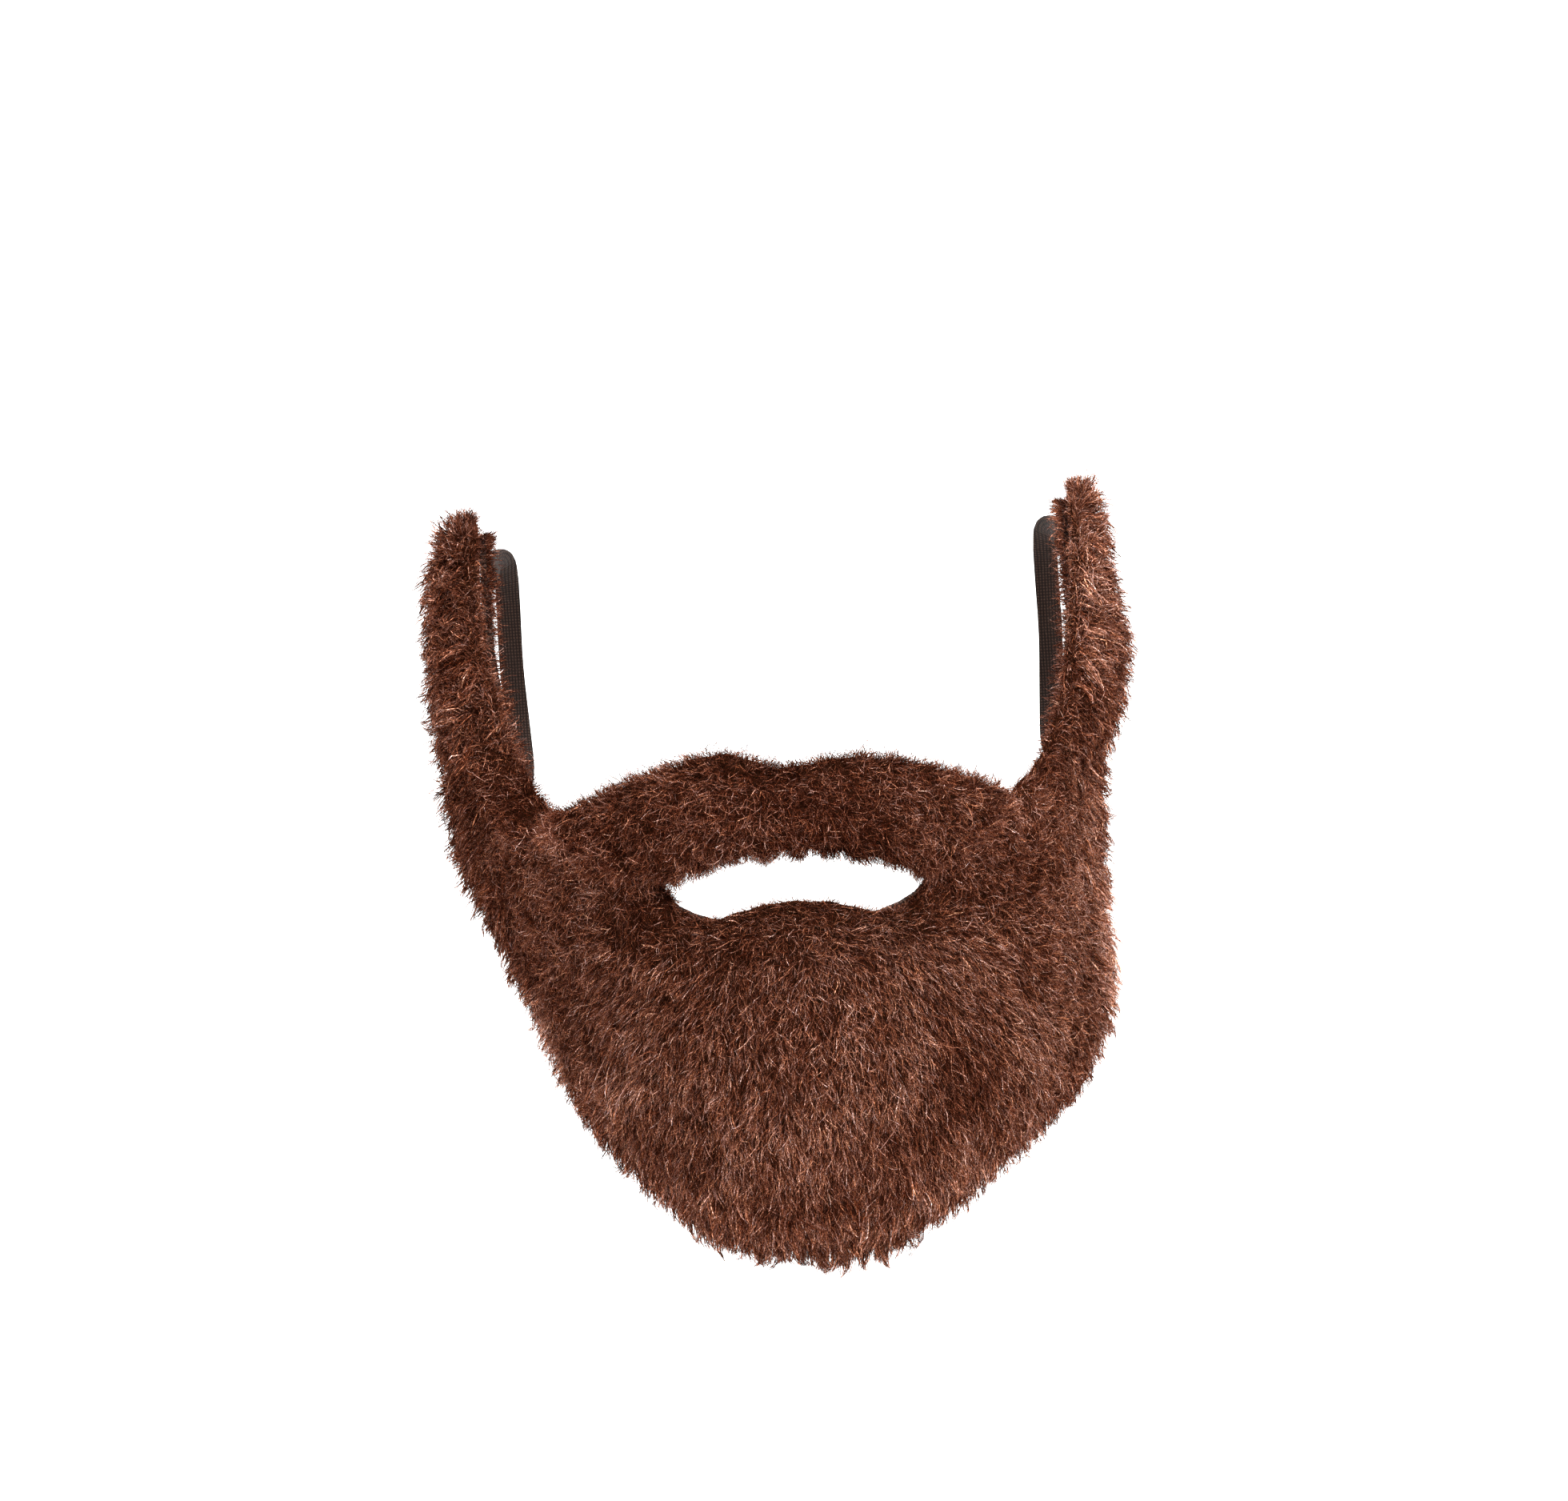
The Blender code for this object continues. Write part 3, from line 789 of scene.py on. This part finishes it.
def grow(roots, outward, comb, frizz, length, lift, reach, segments, curliness):
    """The places along each strand: out of the mass, and over along the combing."""
    count = len(roots)
    step = (length / segments)[:, None]
    heading = unit(comb * np.cos(lift)[:, None] + outward * np.sin(lift)[:, None]
                   + random_directions(count) * (0.10 + 0.25 * frizz)[:, None])
    axis = unit(outward * chance.normal(size=count)[:, None]
                + random_directions(count) * (0.3 + 0.5 * frizz)[:, None])
    curl = chance.uniform(0.02, 0.12, count) + chance.uniform(0.05, 0.30, count) * frizz
    curl = (curl * curliness * length / segments / MM)[:, None]
    points = np.empty((count, segments + 1, 3))
    points[:, 0] = roots - outward * (chance.uniform(0.4, 1.6, count) * MM)[:, None]
    for i in range(segments):
        points[:, i + 1] = points[:, i] + heading * step
        heading = unit(heading + np.cross(axis, heading) * curl
                       + (comb - heading) * (0.16 - 0.10 * frizz)[:, None]
                       + chance.normal(size=(count, 3)) * (0.10 + 0.12 * frizz)[:, None])
    above = ((points - roots[:, None]) * outward[:, None]).sum(axis=2) + 1.5 * MM
    most = reach[:, None] + 1.5 * MM
    held = np.where(above > 0, most * np.tanh(above / most), 0.0)
    held[:, 0] = above[:, 0]
    return points + outward[:, None] * (held - above)[:, :, None]


def draw_into_locks(points, roots, size, hold):
    """Draws neighbouring strands together towards one of them, most at their tips."""
    count = len(roots)
    heads = chance.choice(count, max(8, int(count / size)), replace=False)
    tree = KDTree(len(heads))
    for i, head in enumerate(heads):
        tree.insert(roots[head], i)
    tree.balance()
    nearest = np.array([tree.find(root)[1] for root in roots])
    lead = points[heads[nearest]]
    along = (np.linspace(0, 1, points.shape[1]) ** 1.3)[None, :, None]
    return points + (lead - points) * along * hold[:, None, None]


def strand_arrays(points, outward, width, tint):
    """Corners, faces and map of flat strands with pointed ends."""
    count, places = points.shape[:2]
    segments = places - 1
    tangent = np.empty_like(points)
    tangent[:, 1:-1] = points[:, 2:] - points[:, :-2]
    tangent[:, 0] = points[:, 1] - points[:, 0]
    tangent[:, -1] = points[:, -1] - points[:, -2]
    tangent = unit(tangent)
    roll = chance.normal(0, 0.75, count)[:, None, None]
    across = unit(np.cross(tangent, outward[:, None]))
    second = np.cross(tangent, across)
    across = across * np.cos(roll) + second * np.sin(roll)
    taper = np.interp(np.linspace(0, 1, places), [0, 0.3, 0.7, 1], [0.85, 1.0, 0.8, 0.0])
    half = (width[:, None] * taper[None, :] / 2)[:, :, None]
    per_strand = 2 * segments + 1
    corners = np.empty((count, per_strand, 3))
    corners[:, 0:-1:2] = (points - across * half)[:, :-1]
    corners[:, 1::2] = (points + across * half)[:, :-1]
    corners[:, -1] = points[:, -1]
    quads = np.array(
        [[2 * k, 2 * k + 1, 2 * k + 3, 2 * k + 2] for k in range(segments - 1)], int
    )
    tip = np.array([2 * segments - 2, 2 * segments - 1, 2 * segments])
    local = np.concatenate([quads.ravel(), tip])
    loops = (np.arange(count)[:, None] * per_strand + local[None]).ravel()
    sizes = np.tile([4] * (segments - 1) + [3], count)
    up = np.append(np.repeat(np.arange(segments) / segments, 2), 1.0)[local]
    side = np.append(np.tile([-1.0, 1.0], segments), 0.0)[local]
    u = np.clip(tint, 0.02, 0.98)[:, None] + side[None] * 0.008
    v = np.broadcast_to(0.01 + 0.98 * up[None], u.shape)
    return corners.reshape(-1, 3), loops, sizes, np.stack([u, v], axis=2).reshape(-1, 2)


def join_strands(name, sets, material):
    """One piece from sets of strands, each with its map."""
    corners = np.concatenate([each[0] for each in sets])
    offsets = np.cumsum([0] + [len(each[0]) for each in sets])
    loops = np.concatenate([each[1] + offset for each, offset in zip(sets, offsets)])
    sizes = np.concatenate([each[2] for each in sets])
    mapped = np.concatenate([each[3] for each in sets])
    mesh = bpy.data.meshes.new(name)
    mesh.vertices.add(len(corners))
    mesh.vertices.foreach_set("co", corners.ravel())
    mesh.loops.add(len(loops))
    mesh.loops.foreach_set("vertex_index", loops.astype(np.int32))
    mesh.polygons.add(len(sizes))
    starts = np.concatenate([[0], np.cumsum(sizes)[:-1]])
    mesh.polygons.foreach_set("loop_start", starts.astype(np.int32))
    uv = mesh.uv_layers.new(name="OFBake")
    uv.data.foreach_set("uv", mapped.ravel())
    mesh.update(calc_edges=True)
    mesh.shade_smooth()
    piece = bpy.data.objects.new(name, mesh)
    bpy.context.scene.collection.objects.link(piece)
    mesh.materials.append(material)
    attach(piece, "root")
    return piece


def tint_of(roots, angle, height, moustache):
    """How light and warm the hair is at each place, from 0 to 1, with painted shade
    between the tufts, under the nose and at the spots, and painted light on the +X side.
    """
    # The tufts' tops are lighter and the gaps between them darker, as painted shade.
    tint = USUAL_TINT + 0.005 + 0.03 * tufts(roots) + 0.04 * patches(roots, 0.020)
    if moustache:
        # Darker overall, with a painted shadow of the nose across the moustache's middle.
        return tint - 0.10 - 0.04 * np.exp(-((angle / 14) ** 2))
    for spot in SPOTS:
        across, up = (np.abs(angle) - spot.angle) / spot.wide, (height - spot.height) / spot.high
        tint += np.where(angle < 0, spot.minus_x, spot.plus_x) * np.exp(-(across**2) - up**2)
    # Painted light on the +X side, towards the key light, and painted shade on the -X side.
    return tint + 0.03 * smooth_step(40, 75, angle) - 0.08 * smooth_step(40, 70, -angle)


def backlit_jaw_glow(angle, height, turned):
    """Painted light: how much lighter the outer sides of the jaw are, away from their
    undersides, as the glow of hair lit from behind.
    """
    lighter = 0.34 * smooth_step(62, 78, angle) * (1 - smooth_step(-62, -42, height))
    lighter += 0.30 * smooth_step(55, 71, -angle) * (1 - smooth_step(-84, -68, height))
    return lighter * smooth_step(0.1, 0.7, turned)


def roots_of_layer(sampled, layer, count, cloth):
    """Random roots where the layer grows: all over, on the outline's sides, or on the brims."""
    tries = {"all": 1, "sides": 5, "brims": 30}[layer.where]
    roots, outward = scatter(sampled, count * tries, *cloth)
    if layer.where == "all":
        return roots, outward
    angle, height = place_on_pattern(roots)
    turned = (outward * radial_of(roots)).sum(axis=1)
    if layer.where == "sides":
        wanted = (np.abs(angle) > 64) & ((turned > 0.35) | (height < -60))
        wanted |= (turned < 0.75) & (turned > -0.3) & (height < -78)
    else:
        wanted = (np.abs(turned) < 0.6) & (outward[:, 2] > 0.35) & (height > -48)
    chosen = np.nonzero(wanted)[0][:count]
    return roots[chosen], outward[chosen]


def grow_layer(sampled, layer, moustache, cloth, scale):
    """One layer of strands on a mass of hair: its places, widths and tints."""
    wanted = int((layer.moustache if moustache else layer.beard) * scale)
    roots, outward = roots_of_layer(sampled, layer, wanted, cloth)
    count = len(roots)
    angle, height = place_on_pattern(roots)
    radial = radial_of(roots)
    seam = near_seam(angle, height)
    outward = unit(outward + radial * 3 * seam[:, None])
    frizz = frizz_of(angle, height, moustache)
    comb = combing_of(roots, outward, frizz, moustache)
    turned = (outward * radial).sum(axis=1)
    edge = 1 - smooth_step(0.2, 0.6, np.abs(turned))
    hem = edge * near_hem(height, moustache) * (0.5 if moustache else 1.0)
    comb = unit(comb + hem[:, None] * np.array([0, 0, -1.2]))
    at_sides = smooth_step(62, 78, np.abs(angle))
    jaw = at_sides * (1 - smooth_step(-64, -48, height))
    comb = unit(comb + jaw[:, None] * np.array([0, 0, -1.0]))
    if layer.where == "sides":
        comb = unit(comb * 0.6 + np.array([0, 0, -1.0]))
    top = smooth_step(26, 36, height)
    comb = unit(comb + top[:, None] * np.array([0, 0, 1.0]))
    by_mouth = (np.abs(angle) < 34) & (height < -50)
    brim = (1 - smooth_step(0.45, 0.8, np.abs(turned))) * smooth_step(0.2, 0.55, outward[:, 2])
    brim *= np.where(by_mouth, 0.3, 1.0)
    combed = MOST_FRIZZ - frizz
    length = chance.uniform(*layer.length, count) + combed
    length += 4.5 * hem + 1.2 * brim + 1.5 * top - 0.4 * edge
    lift = chance.uniform(*layer.lift, count) - 6 * combed + 12 * top + 20 * brim - 16 * jaw
    height_share = chance.random(count)
    reach = layer.reach[0] + (layer.reach[1] - layer.reach[0]) * height_share
    locks = long_locks(roots, frizz)
    reach = reach * (0.65 + 0.35 * frizz) + (0.3 + 0.6 * at_sides) * tufts(roots) + 0.35 * locks
    reach += 0.7 * edge + 2.0 * hem + 0.8 * top
    if layer.where != "sides":
        reach -= 0.8 * at_sides
    reach += (1.0 + 0.6 * max(layer.reach[0], 0)) * brim
    reach = np.clip(reach, -0.8, 6.8) * MM
    points = grow(roots, outward, comb, frizz, length * MM, np.radians(lift), reach,
                  layer.segments, layer.curl)
    hold = chance.uniform(0.6, 1.0, count) * layer.lock + chance.uniform(0.0, 0.3, count) * edge
    hold = np.minimum(hold, 1.0)
    points = draw_into_locks(points, roots, layer.lock_size, hold)
    # The locks' ridges are lighter and their furrows darker, as painted shade.
    tint = layer.tint - USUAL_TINT + tint_of(roots, angle, height, moustache) + 0.035 * locks
    tint += 0.0 if moustache else backlit_jaw_glow(angle, height, turned)
    # Painted shade: strands that reach less high are darker, as the hair above shadows them.
    tint += 0.26 * (height_share - 0.5) + chance.normal(0, layer.spread, count)
    # Painted highlights: a few strands much lighter, as glinting fibres.
    tint += 0.26 * (chance.random(count) < 0.04)
    width = chance.uniform(*layer.width, count) * MM
    return points, outward, width, tint, angle


def dress(sampled, names, moustache, cloth, material, scale):
    """Grows the strands of one mass of hair and joins them in named pieces by place."""
    layers = [
        grow_layer(sampled, layer, moustache, cloth, scale)
        for layer in LAYERS
        if (layer.moustache if moustache else layer.beard)
    ]
    all_angles = layers[1][4]
    cuts = np.quantile(all_angles, np.arange(1, len(names)) / len(names))
    for i, name in enumerate(names):
        sets = []
        for points, outward, width, tint, angle in layers:
            mine = np.searchsorted(cuts, angle) == i
            sets.append(strand_arrays(points[mine], outward[mine], width[mine], tint[mine]))
        join_strands(name, sets, material)


def edge_fringe(places, triangles, count, material):
    """Short frizzy hair round the cloth's edge, which hides it from the front."""
    corners = places[triangles]
    angle, height = place_on_pattern(corners.mean(axis=1))
    at_mouth = (np.abs(angle) < 33) & (height > -68) & (height < -37)
    on_rim = on_cut_edge(corners) & ~at_mouth
    rim = corners[on_rim]
    crossed = np.cross(rim[:, 1] - rim[:, 0], rim[:, 2] - rim[:, 0])
    weights = np.linalg.norm(crossed, axis=1)
    weights *= np.where((np.abs(angle) > 36) & (height > -48), 2.2, 1.0)[on_rim]
    weights *= np.where(height > 12, 2.2, 1.0)[on_rim]
    chosen = chance.choice(len(rim), count, p=weights / weights.sum())
    a, b = np.sort(chance.random((2, count)), axis=0)
    share = np.stack([a, b - a, 1 - b], axis=1)
    roots = (rim[chosen] * share[:, :, None]).sum(axis=1)
    away = unit(crossed)[chosen]
    radial = radial_of(roots)
    frizz = np.full(count, 0.9)
    angle, height = place_on_pattern(roots)
    cheek = (np.abs(angle) > 36) & (height > -48) & (chance.random(count) < 0.5)
    lean = np.where(cheek, chance.uniform(-1.9, -0.6, count), chance.uniform(-0.5, 1.2, count))
    comb = unit(away + radial * lean[:, None] + np.array([0, 0, -0.4]))
    points = grow(roots, away, comb, frizz, chance.uniform(2.5, 5.5, count) * MM,
                  np.radians(chance.uniform(-10, 50, count)),
                  chance.uniform(1.0, 3.0, count) * MM, 3, 1.0)
    tint = tint_of(roots, angle, height, False) + chance.normal(-0.05, 0.15, count)
    strands = strand_arrays(points, radial, chance.uniform(0.12, 0.22, count) * MM, tint)
    return join_strands("edge_fringe", [strands], material)


# ---------------------------------------------------------------- stage, light, camera


def make_stage():
    """White studio paper that curves up behind the beard."""
    deselect()
    bpy.ops.mesh.primitive_plane_add(size=1, location=(0, 0, 0))
    sweep = bpy.context.object
    sweep.name = "studio_sweep"
    mesh = sweep.data
    shape = bmesh.new()
    profile = [(-4.0, -0.45), (0.6, -0.45)]
    profile += [
        (0.6 + 0.9 * math.sin(turn), 0.45 - 0.9 * math.cos(turn))
        for turn in np.linspace(0, math.pi / 2, 13)[1:]
    ]
    profile.append((1.5, 3.5))
    rows = [
        [shape.verts.new((x, y, z)) for x in (-4.0, 4.0)] for y, z in profile
    ]
    for low, high in zip(rows, rows[1:]):
        shape.faces.new((low[0], low[1], high[1], high[0]))
    shape.to_mesh(mesh)
    shape.free()
    mesh.shade_smooth()
    material, _, surface = new_material("studio_paper")
    surface.inputs["Base Color"].default_value = (0.9, 0.9, 0.9, 1)
    surface.inputs["Roughness"].default_value = 0.9
    mesh.materials.append(material)
    return sweep


def add_light(name, place, aim, size, power, colour=(1, 1, 1)):
    data = bpy.data.lights.new(name, "AREA")
    data.shape = "DISK"
    data.size = size
    data.energy = power
    data.color = colour
    light = bpy.data.objects.new(name, data)
    bpy.context.scene.collection.objects.link(light)
    light.location = place
    light.rotation_euler = (Vector(aim) - Vector(place)).to_track_quat("-Z", "Y").to_euler()
    return light


def make_lights():
    middle = (0, -0.06, -0.05)
    add_light("key_light", (0.75, -1.25, 0.95), middle, 0.5, 38)
    add_light("fill_light", (-1.1, -1.2, 0.25), middle, 0.9, 12)
    add_light("edge_light_left", (1.0, 0.65, 0.25), middle, 0.7, 6, (1.0, 0.94, 0.88))
    add_light("edge_light_right", (-1.0, 0.65, 0.25), middle, 0.7, 6, (1.0, 0.94, 0.88))
    add_light("paper_light", (0, 0.35, 1.6), (0, 1.6, 0.1), 1.4, 95)
    world = bpy.data.worlds.new("studio")
    world.use_nodes = True
    world.node_tree.nodes["Background"].inputs["Color"].default_value = (1, 1, 1, 1)
    world.node_tree.nodes["Background"].inputs["Strength"].default_value = 0.16
    bpy.context.scene.world = world


def make_camera():
    """The photograph's level view."""
    data = bpy.data.cameras.new("camera")
    data.lens = CAMERA_LENS
    data.sensor_width = 36
    data.clip_end = 20
    camera = bpy.data.objects.new("camera", data)
    bpy.context.scene.collection.objects.link(camera)
    camera.location = (CAMERA_SIDE, -CAMERA_DISTANCE, CAMERA_HEIGHT)
    camera.rotation_euler = Euler((math.radians(90), math.radians(CAMERA_ROLL), 0))
    bpy.context.scene.camera = camera


def main():
    cloth = make_backing_cloth()
    places, _, triangles = mesh_arrays(cloth)
    cloth_tree = BVHTree.FromPolygons(places.tolist(), triangles.tolist())
    cloth_rim = rim_of_cloth(places, triangles)
    elastic = elastic_material()
    make_ear_loop("ear_loop_left", "elastic_loop_left", elastic)
    make_ear_loop("ear_loop_right", "elastic_loop_right", elastic)
    thread = thread_material()
    sew_loop_ends(thread)
    overlock = sew_cloth_edge(cloth, thread)
    inside = under_material()
    strands = strand_material()
    _, beard = make_underhair("beard_hair", "beard_underhair", inside)
    _, moustache = make_underhair("moustache_hair", "moustache_underhair", inside)
    scale = 1.0
    near_cloth = (cloth_tree, cloth_rim)
    dress(beard, BEARD_PIECES, False, near_cloth, strands, scale)
    dress(moustache, ("moustache_strands",), True, near_cloth, strands, scale)
    edge_fringe(places, triangles, int(FRINGE_STRANDS * scale), strands)
    make_stage()
    make_lights()
    make_camera()
    bpy.context.scene.view_settings.view_transform = "Standard"


main()
